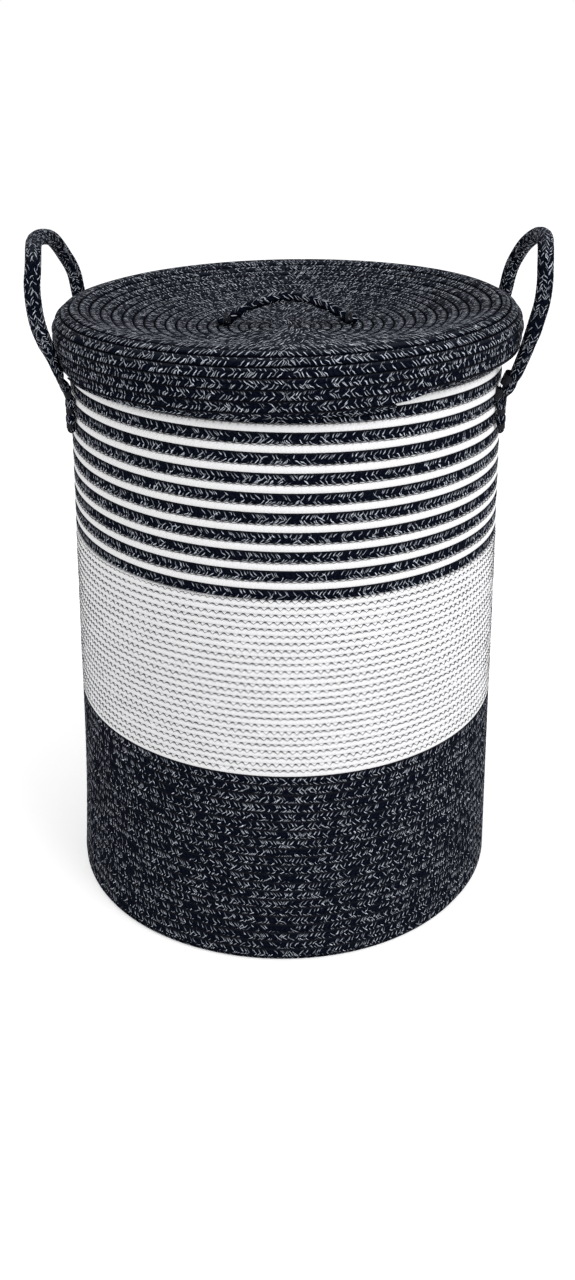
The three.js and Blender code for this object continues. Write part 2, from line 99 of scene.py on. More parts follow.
# Route over the skirt: place along Y, height over the hinge, play to the lid's widest circle
LOOP_ROUTES = {
    "left": (
        (-79, 48, -2.2), (-79.5, 58, 0.9), (-83, 73, 5), (-84.5, 88, 6.6), (-85, 103, 6.6),
        (-82, 115.5, 4.2), (-72, 123.5, 1.5), (-52, 126.5, -1), (-24, 127.5, -1.8), (5, 126.5, -1.8),
        (30, 123.5, -0.8), (48, 119, 0.8), (60, 112, 1.7), (71, 101.5, 1.8), (80, 91.5, 2),
        (86, 81.5, 2.4), (89, 70, 2.6), (89, 58, 1.2), (87, 48, -0.4),
    ),
    "right": (
        (-77, 48, 0.3), (-77.5, 58, 2.6), (-79, 73, 6), (-79, 88, 8.9), (-78, 103, 9.5),
        (-75.5, 117, 8.3), (-67, 127.5, 6.3), (-49, 132.5, 4), (-20, 131.5, 3), (5, 128.5, 3),
        (25, 123, 3.3), (42, 114.5, 3.3), (54, 104.5, 3.3), (63, 94, 3.3), (68, 84, 3.3),
        (71, 74, 3.3), (73, 66, 3), (73.5, 57, 1.2), (73, 48, -0.4),
    ),
}
# Turns of thread, arc in degrees, size and shift to the wall of a sewn lashing and of the loose ones
SEWN_LASHING = (4, 215, 1, 0)
LOOSE_LASHINGS = {"left": (5, 215, 1, 0), "right": (9, 330, 1.15, 4.5)}

# Lid handle: places along its half span, and fullness of its arch
LID_HANDLE_STATIONS = (-1, -0.82, -0.5, 0, 0.5, 0.82, 1)
LID_HANDLE_FULLNESS = 0.9


def length(name, default, description):
    """A size in millimetres as a property in metres."""
    return FloatProperty(name=name, description=description, default=default * MM, unit="LENGTH", precision=4)


def slope(name, default, description):
    """An angle in degrees as a property in radians."""
    return FloatProperty(name=name, description=description, default=math.radians(default), unit="ROTATION")


def colour(name, default, description):
    return FloatVectorProperty(
        name=name, description=description, default=default, subtype="COLOR", size=3, min=0, max=1
    )


class HamperSizes(PropertyGroup):
    """Sizes of the hamper's pieces."""

    wall_foot_radius: length("Wall foot radius", 211.2, "Outer radius at the floor")
    wall_rim_radius: length("Wall rim radius", 189.6, "Outer radius at the rim")
    wall_height: length("Wall height", 555.75, "Height of the wall's upper edge")
    dark_rope: length("Dark rope", 9.3, "Thickness and turn height of the dark rope")
    white_rope: length("White rope", 8.2, "Thickness of the white rope")
    dark_groove: length("Dark groove", 3.0, "Valley between two turns of dark rope")
    white_groove: length("White groove", 1.5, "Valley between two turns of white rope")
    plait: length("Plait", 4.1, "Length of one strand of the dark rope's plait")
    foot_splay: length("Foot splay", 5.5, "Spread of the soft foot at the front left")
    splay_height: length("Splay height", 160.0, "Height at which the foot's spread ends")
    splay_side: slope("Splay side", -60.0, "Side of the spread, from the front to the right")
    corner_radius: length("Corner radius", 6.0, "Radius from the floor to the wall")
    corner_flat: length("Corner flat", 16.0, "Width of the foot that lies on the floor")
    lower_band: length("Lower band", 199.5, "Height of the dark lower band")
    middle_band: length("Middle band", 164.6, "Height of the white middle band")
    middle_turns: IntProperty(name="White turns", description="Turns of white rope", default=26, min=2)
    stripe_turns: IntProperty(name="Stripes", description="Turns of the striped band", default=11, min=1)
    dark_stripe: length("Dark stripe", 9.4, "Height of a dark stripe")
    white_stripe: length("White stripe", 6.65, "Height of a white stripe")
    lid_radius: length("Lid radius", 205.5, "Outer radius of the lid")
    lid_rope: length("Lid rope", 7.2, "Thickness of the lid's rope, pulled flat by its sewing")
    lid_centre: length("Lid centre", 541.38, "Height of the lid's middle")
    lid_dish: length("Lid dish", 25.0, "Rise of the lid at the dish radius")
    lid_dish_radius: length("Dish radius", 181.0, "Radius at which that rise is reached")
    lid_shoulder: length("Lid shoulder", 177.0, "Radius where the lid turns over")
    lid_skirt: length("Lid skirt", 50.0, "Depth of the lid's skirt below its crest")
    lid_lean: slope("Skirt lean", 9.0, "Angle by which the skirt runs in below")
    lid_tilt_left: slope("Lid tilt to the left", 0.9, "Dip of the loose lid on the left")
    lid_tilt_front: slope("Lid tilt to the front", 0.4, "Dip of the loose lid in front")
    lid_shift: length("Lid shift", 1.5, "Shift of the loose lid to the right")
    handle_rope: length("Handle rope", 13.4, "Thickness of the side handles' rope")
    handle_strand: length("Handle strand", 3.7, "Length of a strand of the handle rope")
    handle_line: length("Handle line", 8.15, "Way from the lid's widest circle to a side handle")
    handle_spacing: length("Handle feet", 144.0, "Distance between a side handle's ends")
    handle_hinge: length("Handle hinge", 488.33, "Height at which a side handle folds")
    handle_tail: length("Handle tail", 23.5, "Length of rope sewn down below the fold")
    handle_straight: length("Handle straight", 6.4, "Length above the fold that lies on the wall")
    handle_play: length("Handle play", 0.3, "Gap from a side handle to the lid's edge")
    lid_handle_rope: length("Lid handle rope", 9.3, "Thickness of the lid handle's rope")
    lid_handle_strand: length("Lid handle strand", 4.4, "Length of a strand of the lid handle")
    lid_handle_span: length("Lid handle span", 106.0, "Distance between the lid handle's feet")
    lid_handle_rise: length("Lid handle rise", 19.8, "Rise of the lid handle above its feet")
    stitch: length("Stitch", 6.6, "Length of one zigzag stitch")
    thread: length("Thread", 0.5, "Thickness of the sewing thread")
    lashing_thread: length("Lashing thread", 1.2, "Thickness of the thread round the side handles")
    foot_thread: length("Foot thread", 1.0, "Thickness of the thread over the lid handle's feet")


class HamperColours(PropertyGroup):
    """Colours of the hamper's ropes and threads."""

    dark_yarn: colour("Dark yarn", (0.0014, 0.0022, 0.0058), "Near-black navy yarn")
    # Painted highlight: a lit copy of the dark yarn, laid on the crowns of the strands
    dark_yarn_highlight: colour("Dark yarn, lit", (0.006, 0.0085, 0.017), "Crown of a dark strand")
    # Painted light on the dark rope's level faces, where light from above falls
    painted_top_light: colour("Fluff", (0.034, 0.038, 0.05), "Fibres that catch the light on dark rope")
    fleck: colour("Fleck", (0.84, 0.9, 1.0), "Off-white yarn that shows in the dark rope")
    white_yarn: colour("White yarn", (0.93, 0.93, 0.94), "Off-white yarn")
    # Painted shade of the white yarn, for its creases, grooves and the pinch at each stitch
    white_yarn_in_shade: colour("White yarn, deep", (0.5, 0.5, 0.54), "Creases of the white rope")
    thread: colour("Thread", (0.03, 0.032, 0.042), "Dark grey sewing thread")
    backdrop: colour("Backdrop", (0.9, 0.9, 0.9), "Studio floor")


def setting(name):
    """One of the hamper's angles or counts."""
    return getattr(bpy.context.scene.hamper_sizes, name)


def size(name):
    """One of the hamper's lengths, in millimetres."""
    return setting(name) / MM


def shade(name):
    return (*getattr(bpy.context.scene.hamper_colours, name), 1.0)


# Finishes


def maths(operation, mirrored=False):
    """Method of a wire that adds a Math node; a mirrored one takes the wire last."""

    def method(wire, *others):
        values = (*others, wire) if mirrored else (wire, *others)
        return wire.finish.node("ShaderNodeMath", {"operation": operation}, dict(enumerate(values)), 0)

    return method


class Wire:
    """An output socket that takes part in arithmetic; an expression on wires adds its Math nodes."""

    def __init__(self, finish, socket):
        self.finish = finish
        self.socket = socket

    __add__ = __radd__ = maths("ADD")
    __sub__ = maths("SUBTRACT")
    __rsub__ = maths("SUBTRACT", mirrored=True)
    __mul__ = __rmul__ = maths("MULTIPLY")
    __truediv__ = maths("DIVIDE")
    __gt__ = maths("GREATER_THAN")
    __abs__ = maths("ABSOLUTE")
    __floor__ = maths("FLOOR")
    fraction = maths("FRACT")
    swung = maths("PINGPONG")
    larger = maths("MAXIMUM")

    def off_middle(self):
        """Distance of the fraction from the middle between two whole numbers."""
        return abs(self.fraction() - 0.5)

    def zigzag(self):
        """Runs from 0 at even numbers to 1 at odd ones."""
        return self.swung(1.0)

    def ramp(self, low, high):
        """Smooth step from 0 at low to 1 at high; low may be the larger."""
        ends = {"Value": self, "From Min": low, "From Max": high}
        if low > high:
            ends.update({"From Min": high, "From Max": low, "To Min": 1.0, "To Max": 0.0})
        return self.finish.node("ShaderNodeMapRange", {"interpolation_type": "SMOOTHSTEP"}, ends, 0)


class Finish:
    """The shader of a material or of the world, under construction."""

    def __init__(self, holder):
        self.holder = holder
        holder.use_nodes = True
        self.tree = holder.node_tree
        self.tree.nodes.clear()

    def node(self, kind, settings, sockets, *outputs):
        """Adds a node, sets it, fills its sockets and gives the outputs asked for."""
        made = self.tree.nodes.new(kind)
        for key, value in settings.items():
            setattr(made, key, value)
        for key, value in sockets.items():
            if isinstance(value, Wire):
                self.tree.links.new(value.socket, made.inputs[key])
            else:
                made.inputs[key].default_value = value
        wires = [Wire(self, made.outputs[key]) for key in outputs]
        return wires[0] if len(wires) == 1 else wires

    def rope_coordinates(self):
        """Length along the rope and place round it, counted in strands."""
        place = self.node("ShaderNodeUVMap", {"uv_map": "rope"}, {}, 0)
        return self.node("ShaderNodeSeparateXYZ", {}, {0: place}, 0, 1)

    def point(self, x, y, z=0.0):
        return self.node("ShaderNodeCombineXYZ", {}, {0: x, 1: y, 2: z}, 0)

    def noise(self, at, scale, detail=2.0):
        return self.node("ShaderNodeTexNoise", {}, {"Vector": at, "Scale": scale, "Detail": detail}, 0)

    def chances(self, at):
        """Three random numbers for each cell."""
        rolled = self.node("ShaderNodeTexWhiteNoise", {"noise_dimensions": "3D"}, {"Vector": at}, "Color")
        return self.node("ShaderNodeSeparateXYZ", {}, {0: rolled}, 0, 1, 2)

    def plait_lean(self):
        """1 on the right half of the hamper and -1 on the left, with a ragged edge between."""
        ragged, patches = 0.16, 14.0
        spot = self.node("ShaderNodeTexCoord", {}, {}, "Object")
        x = self.node("ShaderNodeSeparateXYZ", {}, {0: spot}, "X")
        return (x + (self.noise(spot, patches) - 0.5) * ragged > 0) * 2 - 1

    def level_share(self):
        """How level the surface lies: 0 on a steep face, 1 on one that faces up."""
        steepest = 0.45
        facing = self.node("ShaderNodeNewGeometry", {}, {}, "Normal")
        return self.node("ShaderNodeSeparateXYZ", {}, {0: facing}, "Z").ramp(steepest, 1.0)

    def mixed(self, factor, first, second):
        return self.node("ShaderNodeMix", {"data_type": "RGBA"}, {0: factor, 6: first, 7: second}, 2)

    def bumped(self, height, depth):
        return self.node("ShaderNodeBump", {}, {"Distance": depth * MM, "Height": height}, 0)

    def cloth(self, base, roughness, normal, gloss):
        """Ends the material in a matt cloth surface."""
        looks = {"Base Color": base, "Roughness": roughness, "Normal": normal, "Specular IOR Level": gloss}
        surface = self.node("ShaderNodeBsdfPrincipled", {}, looks, 0)
        self.node("ShaderNodeOutputMaterial", {}, {"Surface": surface})
        return self.holder


def flecks(finish, along, across, lean, share, seed):
    """Off-white yarn: one slanting dash in some of the cells between two creases of the plait."""
    core, edge = 0.03, 0.11
    slanted = along + across.zigzag() * lean
    cell = math.floor(slanted)
    lane = math.floor(across)
    chance, shift, glow = finish.chances(finish.point(cell, lane, seed))
    line = abs(slanted - cell - shift * 0.44 - 0.28).ramp(edge, core)
    middle = (glow - 0.5) * 0.4 + 0.5
    reach = abs(across - lane - middle).ramp(0.45, 0.25)
    return line * reach * (chance > 1 - share) * (glow * 0.9 + 0.3)


def dark_rope_finish(name, share=0.7, wound=True, crease=DARK_CREASE, furrow=0.4):
    """Plaited near-black rope whose off-white yarns show as rows of slanting flecks.

    share is the part of the cells with a fleck. A wound rope carries painted shade from furrow, a share of
    half a turn's height, to the groove at the next turn; it dims the flecks and the painted highlight on the
    strands' crowns there. Level faces get painted light from above. Its flecks point along the crease, as
    placed in
    Winding.rope: to the right on the left half of the hamper and to the left on the right.
    """
    wander, sway, top_light_share, fibre_share = 1.6, 0.5, 0.4, 0.7
    roughness, relief_depth, gloss = 0.9, 0.5, 0.02
    finish = Finish(bpy.data.materials.new(name))
    along, across = finish.rope_coordinates()
    place = finish.point(along, across)
    other_place = finish.point(across, along, 7.0)
    shifted = along + (finish.noise(place, 0.6) - 0.5) * wander
    swayed = across + (finish.noise(other_place, 0.8) - 0.5) * sway
    lean = finish.plait_lean() if wound else 1.0
    main = flecks(finish, shifted, swayed, lean * 1.25, share, seed=3.0)
    beside = flecks(finish, shifted + 0.43, swayed, lean * 1.05, share * 0.35, seed=19.0)
    crossing = flecks(finish, shifted * 0.9 + 0.37, swayed + 0.5, lean * -1.3, share * 0.3, seed=11.0)
    bright = (main + beside * 0.7 + crossing * 0.6) * finish.noise(place, 1.5).ramp(0.08, 0.36)
    strand = (shifted + swayed.zigzag() * lean).off_middle().ramp(0.5, 0.1)
    crown = strand * swayed.off_middle().ramp(0.5, 0.36)
    fibre = finish.noise(place, 9.0, 3.0)
    # lit is the painted highlight on the strands' crowns, mottled by the fibre noise
    lit = crown * (fibre * fibre_share + (1 - fibre_share))
    if wound:
        # Painted shade in the groove between turns, laid over the crowns' highlight and the flecks
        clear_of_groove_shade = abs(across / DARK_LANES + crease).ramp(furrow + 0.5, furrow)
        lit = lit * clear_of_groove_shade
        bright = bright * clear_of_groove_shade
    yarn = finish.mixed(lit, shade("dark_yarn"), shade("dark_yarn_highlight"))
    # Painted light from above, stronger the more level the face lies
    top_lit_yarn = finish.mixed(finish.level_share() * top_light_share, yarn, shade("painted_top_light"))
    base = finish.mixed(bright, top_lit_yarn, shade("fleck"))
    relief = crown * 0.75 + fibre * 0.25
    return finish.cloth(base, roughness, finish.bumped(relief, relief_depth), gloss)


def white_rope_finish(name):
    """Soft off-white rope, drawn in at each stitch, with painted shade in its pinches, towards its grooves
    and between strands; its coordinates count stitches and half heights.
    """
    wander, strands_per_stitch, strand_lean = 0.25, 2, 0.9
    roughness, relief_depth, gloss = 0.9, 0.55, 0.1
    finish = Finish(bpy.data.materials.new(name))
    along, across = finish.rope_coordinates()
    place = finish.point(along * strands_per_stitch, across)
    waved = along + (finish.noise(place, 0.5) - 0.5) * wander
    pinch = waved.off_middle().ramp(0.28, 0.5) * abs(across).ramp(0.35, 1.0)
    strand = (waved * strands_per_stitch + across.zigzag() * strand_lean).off_middle().ramp(0.5, 0.15)
    fibre = finish.noise(place, 7.0, 3.0)
    # Painted shade at the stitches' pinches, towards the grooves and between strands, with a little random
    # mottle from the fibres
    painted_shade_and_mottle = pinch * 0.4 + abs(across).ramp(0.8, 1.0) * 0.2 + (1 - strand) * 0.06 + fibre * 0.05
    base = finish.mixed(painted_shade_and_mottle, shade("white_yarn"), shade("white_yarn_in_shade"))
    relief = strand * 0.25 + fibre * 0.2 - pinch * 1.6
    return finish.cloth(base, roughness, finish.bumped(relief, relief_depth), gloss)


def thread_finish(name, glow=1.0):
    """Twisted sewing thread with painted shade in the furrows of its twist; glow makes it lighter or darker.
    """
    twists_per_mm, furrow_light, furrow_share = 1.5, 0.4, 0.6
    roughness, relief_depth, gloss = 0.7, 0.1, 0.2
    finish = Finish(bpy.data.materials.new(name))
    along, across = finish.rope_coordinates()
    twist = (along * twists_per_mm + across).off_middle() * 2
    crest = [channel * glow for channel in shade("thread")[:3]]
    # The furrow colour is painted shade, a darker copy of the thread's colour
    furrow = [channel * furrow_light for channel in crest]
    base = finish.mixed(twist * furrow_share, (*crest, 1.0), (*furrow, 1.0))
    return finish.cloth(base, roughness, finish.bumped(twist, relief_depth), gloss)


# Meshes


class Tubes:
    """Closed tubes that become one mesh, with the rope coordinates in its UV map."""

    def __init__(self):
        self.points = []
        self.quads = []
        self.quad_places = []
        self.caps = []
        self.count = 0

    def add(self, rings, along, across):
        """Adds rings of points: along has a value for each ring, across one more than a ring has points."""
        rings = np.asarray(rings, float)
        stations, sides = rings.shape[:2]
        after = np.roll(rings, -1, axis=1)
        quads = np.stack([rings[:-1], rings[1:], after[1:], after[:-1]], axis=2)
        if volume(quads) < 0:
            rings = rings[:, ::-1]
            across = np.asarray(across)[::-1]
        i, j = np.meshgrid(np.arange(stations - 1), np.arange(sides), indexing="ij")
        k = (j + 1) % sides
        faces = np.stack([i * sides + j, (i + 1) * sides + j, (i + 1) * sides + k, i * sides + k], axis=-1)
        u = np.stack([along[i], along[i + 1], along[i + 1], along[i]], axis=-1)
        v = np.stack([across[j], across[j], across[j + 1], across[j + 1]], axis=-1)
        self.points.append(rings.reshape(-1, 3))
        self.quads.append(faces.reshape(-1, 4) + self.count)
        self.quad_places.append(np.stack([u, v], axis=-1).reshape(-1, 4, 2))
        self.caps.append(np.arange(sides) + self.count)
        self.caps.append(np.arange(sides)[::-1] + self.count + (stations - 1) * sides)
        self.count += stations * sides

    def piece(self, name, material, slot, body=None, replaces=()):
        """Makes the object, and lets it ride on a body if one is named."""
        quads = np.concatenate(self.quads)
        corners = np.concatenate([quads.ravel(), *self.caps]).astype(np.int32)
        totals = np.array([4] * len(quads) + [len(cap) for cap in self.caps])
        places = np.zeros((len(corners), 2))
        places[: quads.size] = np.concatenate(self.quad_places).reshape(-1, 2)
        mesh = bpy.data.meshes.new(name)
        mesh.vertices.add(self.count)
        mesh.vertices.foreach_set("co", np.concatenate(self.points).ravel() * MM)
        mesh.loops.add(len(corners))
        mesh.loops.foreach_set("vertex_index", corners)
        mesh.polygons.add(len(totals))
        mesh.polygons.foreach_set("loop_start", (np.cumsum(totals) - totals).astype(np.int32))
        mesh.polygons.foreach_set("use_smooth", np.ones(len(totals), bool))
        mesh.uv_layers.new(name="rope").data.foreach_set("uv", places.ravel())
        mesh.update(calc_edges=True)
        mesh.validate()
        mesh.materials.append(material)
        piece = placed(name, mesh)
        if replaces:
            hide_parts(*replaces)
        if body:
            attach(piece, body)
        return piece


def placed(name, data):
    """Makes an object and links it to the scene."""
    made = bpy.data.objects.new(name, data)
    bpy.context.scene.collection.objects.link(made)
    return made


def volume(quads):
    """Signed volume inside quads: stations, sides, four corners and three numbers."""
    a, b, c, d = (quads[:, :, n].reshape(-1, 3) for n in range(4))
    return np.einsum("ij,ij->i", a, np.cross(b, c) + np.cross(c, d)).sum() / 6


def ring_points(r, turn, z):
    """Points at radius r and height z, a part of a turn away from the back."""
    angle = math.pi * (2 * turn - 1)
    return np.stack([r * np.sin(angle), -r * np.cos(angle), z], axis=-1)


class Winding:
    """One rope wound in turns side by side over a face of the hamper.

    face(s, depth) gives the radius and height of a point at a length s along the section and a depth
    under the outer face, and rope is the name of the rope. Its first turn begins at first; low(turn) and
    high(turn) cut off what lies beyond them, spare turns too. Each turn lies a pitch beyond the one
    before it, and is as high as the pitch or as height says.
    """

    def __init__(self, face, rope, pitch, first, turns, low, high, height=None):
        self.face = face
        self.thickness = size(f"{rope}_rope")
        self.groove = size("white_groove" if rope == "white" else "dark_groove")
        self.pitch = pitch
        self.first = first
        self.turns = turns
        self.low = low
        self.high = high
        self.height = height or pitch

    def stations(self):
        """Turns wound, part of the turn, and lower and upper edge of the rope, for each station."""
        steps = np.arange(STEPS_PER_TURN + 1) / STEPS_PER_TURN
        wound = np.concatenate([k + steps for k in range(self.turns)])
        turn = np.concatenate([1 - steps for _ in range(self.turns)])
        line = self.first + self.pitch * wound
        low, high = self.low(turn), self.high(turn)
        lower = np.clip(line, low, high)
        upper = np.clip(line + self.height, low, high)
        kept = upper - lower > THINNEST_EDGE
        again = np.zeros(len(wound), bool)
        again[1:] = (np.diff(wound) == 0) & (abs(np.diff(lower)) + abs(np.diff(upper)) < 1e-6)
        kept &= ~again
        return wound[kept], turn[kept], lower[kept], upper[kept]

    def wound_length(self, wound, lower, upper):
        """Length of rope up to each station."""
        crest_radius = self.face((lower + upper) / 2, 0 * lower)[0]
        return np.cumsum(np.concatenate([[0], 2 * math.pi * crest_radius[1:] * np.diff(wound)]))

    def sink(self, share, height):
        """Depth of the rope's face at a share of half its height away from its crest."""
        groove = self.groove * np.minimum(1, height / self.height)
        return groove * (1 - np.sqrt(1 - np.minimum(1, share**2)))

    @staticmethod
    def gaps(wound):
        """Stations at which the rope goes on after a break."""
        return np.flatnonzero(np.diff(wound) * STEPS_PER_TURN > 1.5) + 1

    def rope(self, strand, lanes, crease=0.0):
        """Tubes of the rope, one for each unbroken stretch, with a strand's length as 1 along them.

        lanes lie on half of the rope, from a crease up.
        """
        wound, turn, lower, upper = self.stations()
        height = upper - lower
        shares = [*np.linspace(-1, 1, OUTER_STRIPS + 1), *np.linspace(1, -1, INNER_STRIPS + 1)]
        rings = []
        for n, share in enumerate(shares):
            x = math.sin(share * math.pi / 2)
            sink = self.sink(x, height)
            depth = sink if n <= OUTER_STRIPS else self.thickness - sink
            r, z = self.face((lower + upper) / 2 + x * height / 2, depth)
            rings.append(ring_points(r, turn, z))
        rings = np.stack(rings, axis=1)
        along = self.wound_length(wound, lower, upper) / strand
        across = (np.array([*shares, shares[0]]) - crease) * lanes
        stretches = np.split(np.arange(len(wound)), self.gaps(wound))
        return [(rings[stretch], along[stretch], across) for stretch in stretches if len(stretch) > 1]

    def zigzag(self, tubes, down, up, thread, seed):
        """Sewing thread to and fro across each upper edge of the rope, as far as down and up."""
        strays, reach_strays, lift_up, wide, narrow = 0.04, 0.15, 0.1, 1.15, 0.5
        lower_reach, buried_shares = (0.55, 1.1), (-0.2, 0.75)
        wound, _, lower, upper = self.stations()
        run = self.wound_length(wound, lower, upper) / size("stitch")
        chance = np.random.default_rng(seed)
        for k in range(self.turns):
            inside = (wound >= k) & (wound <= k + 1)
            broken = len(self.gaps(wound[inside])) > 0
            first, last = run[inside][[0, -1]] if inside.sum() > 2 and not broken else (0, 0)
            points = np.arange(math.ceil(first * 2), math.floor(last * 2) + 1)
            count = len(points)
            if count < 4:
                continue
            stitched = points / 2 + chance.normal(0, strays, count)
            place = np.interp(stitched, run[inside], wound[inside])
            edge = np.interp(place, wound[inside], upper[inside])
            at_top = points % 2 == 0
            reach = np.where(at_top, up, -down * slow_chance(chance, count, *lower_reach))
            across = reach + chance.normal(0, reach_strays, count)
            sink = self.sink(1 - 2 * abs(across) / self.height, self.height)
            buried = slow_chance(chance, count, *buried_shares)
            lift = np.where(at_top, lift_up, thread * (0.5 - buried))
            r, z = self.face(edge + across, sink)
            turn = 1 - (place - k)
            centre = ring_points(r + lift, turn, z)
            out = ring_points(np.ones(count), turn, np.zeros(count))
            width = thread * np.where(at_top, wide, narrow)
            tubes.add(*thread_rings(centre, out, width, sides=3))


def slow_chance(chance, count, low, high):
    """Random numbers from low to high that drift slowly, one for each of count points."""
    spacing = 9
    knots = chance.uniform(low, high, count // spacing + 2)
    return np.interp(np.arange(count) / spacing, np.arange(len(knots)), knots)


def unit(vectors):
    """The vectors, each with a length of 1."""
    return vectors / np.linalg.norm(vectors, axis=-1, keepdims=True)


def side_and_out(centre, out):
    """Unit vectors square to the path along centre: to its side, and about the way that out points."""
    travel = unit(np.gradient(centre, axis=0))
    side = unit(np.cross(travel, out))
    return side, np.cross(side, travel)


def circle(side, out, angle):
    """Points at the angles of a circle round each station of a path."""
    return side[:, None] * np.cos(angle)[None, :, None] + out[:, None] * np.sin(angle)[None, :, None]


def run_length(points):
    """Length of a path up to each of its points."""
    return np.concatenate([[0], np.cumsum(np.linalg.norm(np.diff(points, axis=0), axis=1))])


def thread_rings(centre, out, width, sides):
    """Rings of a thin thread along centre; out points away from the face that it lies on."""
    angle = 2 * math.pi * np.arange(sides) / sides + math.pi / 2
    width = np.broadcast_to(width, len(centre))[:, None, None]
    rings = centre[:, None] + width * circle(*side_and_out(centre, out), angle)
    return rings, run_length(centre), np.linspace(0, 1, sides + 1)


# The wall's and the lid's sections


def wall_radius(z):
    foot, rim = size("wall_foot_radius"), size("wall_rim_radius")
    return foot + (rim - foot) * z / size("wall_height")


def wall_face(s, depth):
    return wall_radius(s) - depth, s


def splayed(points):
    """Points of the floor and the lower band moved as the soft foot spreads at the front left."""
    x, y, z = np.moveaxis(np.asarray(points, float), -1, 0)
    towards = np.cos(np.arctan2(x, -y) - setting("splay_side"))
    share = np.maximum(towards, 0) ** 4 * np.clip(1 - z / size("splay_height"), 0, 1) ** 2
    spread = 1 + share * size("foot_splay") / size("wall_foot_radius")
    return np.stack([x * spread, y * spread, z], axis=-1)


def wall_foot():
    """Radius at which the wall's foot meets the floor piece."""
    corner = size("corner_radius")
    return wall_radius(corner) - corner - size("corner_flat")


def foot_face(s, depth):
    """Section of the lower band: flat under the corner, round it and up the wall."""
    corner, flat = size("corner_radius"), size("corner_flat")
    arc = corner * math.pi / 2
    inset = np.maximum(corner, depth)
    centre = wall_radius(corner) - inset
    t = np.clip((s - flat) / corner, 0, math.pi / 2)
    z_up = np.maximum(corner + s - flat - arc, depth)
    on_floor, on_wall = s < flat, s > flat + arc
    r = np.where(on_floor, np.minimum(wall_foot() + s, centre), centre + (inset - depth) * np.sin(t))
    z = np.where(on_floor, depth, inset - (inset - depth) * np.cos(t))
    return np.where(on_wall, wall_radius(z_up) - depth, r), np.where(on_wall, z_up, z)


def floor_face(s, depth):
    """Section of the floor, whose under side is its outer face."""
    return s, depth


def dish_rise(r):
    return size("lid_dish") * (r / size("lid_dish_radius")) ** 3


def dish_tilt(r):
    return np.arctan(3 * dish_rise(r) / np.maximum(r, 1e-9))


def lid_shoulder():
    """Radius of the lid's round shoulder, radius and height of its centre, and its length."""
    start = size("lid_shoulder")
    tilt = dish_tilt(start)
    radius = (size("lid_radius") - start) / (1 + math.sin(tilt))
    centre_z = size("lid_centre") + dish_rise(start) - radius * math.cos(tilt)
    length_round = radius * (math.pi / 2 + setting("lid_lean") + tilt)
    return radius, start + radius * math.sin(tilt), centre_z, length_round


def lid_face(s, depth):
    """Section of the lid: dished, turned over a round shoulder, and down as a skirt."""
    start = size("lid_shoulder")
    lean = setting("lid_lean")
    radius, centre_r, centre_z, bend = lid_shoulder()
    tilt = dish_tilt(start)
    inner = np.clip(s, 0, start)
    here = dish_tilt(inner)
    r = inner + depth * np.sin(here)
    z = size("lid_centre") + dish_rise(inner) - depth * np.cos(here)
    past = s - start
    t = np.clip(past, 0, bend) / radius - tilt
    down = np.maximum(0, past - bend)
    over_r = centre_r + (radius - depth) * np.sin(t) - down * math.sin(lean)
    over_z = centre_z + (radius - depth) * np.cos(t) - down * math.cos(lean)
    return np.where(past > 0, over_r, r), np.where(past > 0, over_z, z)


def lid_length():
    """Length of the lid's section from its middle to the lower edge of the skirt."""
    lean = setting("lid_lean")
    radius, _, _, bend = lid_shoulder()
    below_bend = size("lid_skirt") - radius * (1 + math.sin(lean))
    return size("lid_shoulder") + bend + below_bend / math.cos(lean)


def askew(points):
    """Points of the lid moved as it lies: to the right, and down on the left and in front."""
    centre = np.array([0, 0, size("lid_centre")])
    x, y, z = np.moveaxis(np.asarray(points, float) - centre, -1, 0)
    x, z = tipped(x, z, setting("lid_tilt_left"))
    y, z = tipped(y, z, setting("lid_tilt_front"))
    return np.stack([x + size("lid_shift"), y, z], axis=-1) + centre


def tipped(level_way, z, tilt):
    """A level coordinate and a height turned by a tilt."""
    cos, sin = math.cos(tilt), math.sin(tilt)
    return level_way * cos - z * sin, z * cos + level_way * sin


def level(height, fall=0):
    """Edge that falls by fall in one turn and has the given height at the front."""

    def edge(turn):
        return height + fall * (0.5 - turn)

    return edge


def stripe_period():
    return size("dark_stripe") + size("white_stripe")


def middle_pitch():
    return size("middle_band") / setting("middle_turns")


# Ropes that stand free


def smooth_path(points, spacing):
    """Points spacing apart on a centripetal curve through the given ones, and the lengths along it."""
    points = np.asarray(points, float)
    points = np.concatenate([[2 * points[0] - points[1]], points, [2 * points[-1] - points[-2]]])
    steps, fine = 24, []
    for p in range(1, len(points) - 2):
        near = list(points[p - 1 : p + 3])
        knots = [0.0]
        for a, b in zip(near, near[1:]):
            knots.append(knots[-1] + max(1e-6, np.linalg.norm(b - a)) ** 0.5)
        t = np.linspace(knots[1], knots[2], steps, endpoint=p == len(points) - 3)[:, None]
        first = [between(near[n], near[n + 1], knots[n], knots[n + 1], t) for n in range(3)]
        second = [between(first[n], first[n + 1], knots[n], knots[n + 2], t) for n in range(2)]
        fine.append(between(*second, knots[1], knots[2], t))
    fine = np.concatenate(fine)
    run = run_length(fine)
    along = np.linspace(0, run[-1], max(8, round(run[-1] / spacing)) + 1)
    return np.stack([np.interp(along, run, fine[:, n]) for n in range(3)], axis=1), along


def between(a, b, start, end, t):
    """Goes straight from a at start to b at end."""
    return a * (end - t) / (end - start) + b * (t - start) / (end - start)


def bulge(place, roundness):
    """1 in the middle between two whole numbers, falling off towards them as roundness says."""
    return np.sqrt(1 - (2 * (place % 1) - 1) ** 2 * roundness)


